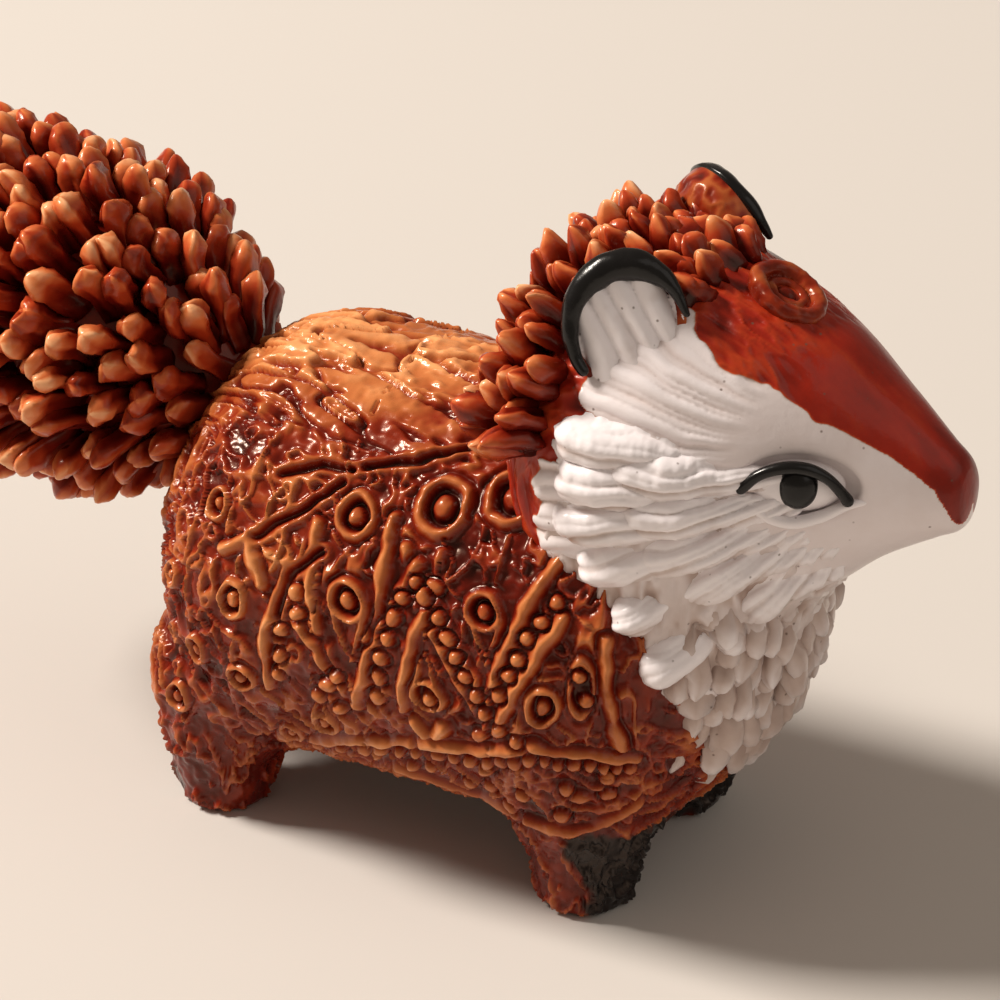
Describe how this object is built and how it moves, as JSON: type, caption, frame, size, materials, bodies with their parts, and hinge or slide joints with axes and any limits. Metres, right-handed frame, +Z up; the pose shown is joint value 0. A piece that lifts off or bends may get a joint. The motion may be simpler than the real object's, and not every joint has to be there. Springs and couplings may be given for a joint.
{
  "type": "fox figurine",
  "caption": "Small hand-modelled standing fox figurine with a bushy tufted tail, a white bib and cheek ruff, and glossy red-brown paint.",
  "frame": {"origin": "centre of the bounding box at floor level, under the belly", "axes": "+Z up, the fox looks along -Y with its tail along +Y, and its left side is +X"},
  "size_m": [0.0232, 0.0694, 0.0371],
  "materials": {
    "body_paint": "varnished dark red and ochre paint over modelling clay",
    "tuft_paint": "varnished orange-red paint over modelling clay",
    "leg_paint": "varnished tan and black paint over modelling clay",
    "white_paint": "satin white paint over modelling clay",
    "black_paint": "glossy black paint",
    "wire": "plain wire"
  },
  "bodies": {
    "root": {"bib_row_1": "white_paint", "bib_row_2": "white_paint", "bib_row_3": "white_paint", "bib_row_4": "white_paint", "bib_row_5": "white_paint", "body": "body_paint", "chest_bib": "white_paint", "forehead_bead": "body_paint", "forehead_ring": "body_paint", "front_left_leg": "leg_paint", "front_right_leg": "leg_paint", "head": "white_paint", "left_cheek_locks_inner": "white_paint", "left_cheek_locks_outer": "white_paint", "left_ear": "body_paint", "left_ear_lining": "white_paint", "left_ear_rim": "black_paint", "left_eye": "white_paint", "left_lower_lid": "white_paint", "left_pupil": "black_paint", "left_upper_lid": "black_paint", "mane_row_1": "tuft_paint", "mane_row_2": "tuft_paint", "mane_row_3": "tuft_paint", "mane_row_4": "tuft_paint", "mane_row_5": "tuft_paint", "rear_left_leg": "leg_paint", "rear_right_leg": "leg_paint", "right_cheek_locks_inner": "white_paint", "right_cheek_locks_outer": "white_paint", "right_ear": "body_paint", "right_ear_lining": "white_paint", "right_ear_rim": "black_paint", "right_eye": "white_paint", "right_lower_lid": "white_paint", "right_pupil": "black_paint", "right_upper_lid": "black_paint", "tail_core": "body_paint", "tail_row_01": "tuft_paint", "tail_row_02": "tuft_paint", "tail_row_03": "tuft_paint", "tail_row_04": "tuft_paint", "tail_row_05": "tuft_paint", "tail_row_06": "tuft_paint", "tail_row_07": "tuft_paint", "tail_row_08": "tuft_paint", "tail_row_09": "tuft_paint", "tail_row_10": "tuft_paint", "tail_row_11": "tuft_paint", "tail_tip": "tuft_paint", "tail_wire": "wire"}
  },
  "joints": []
}
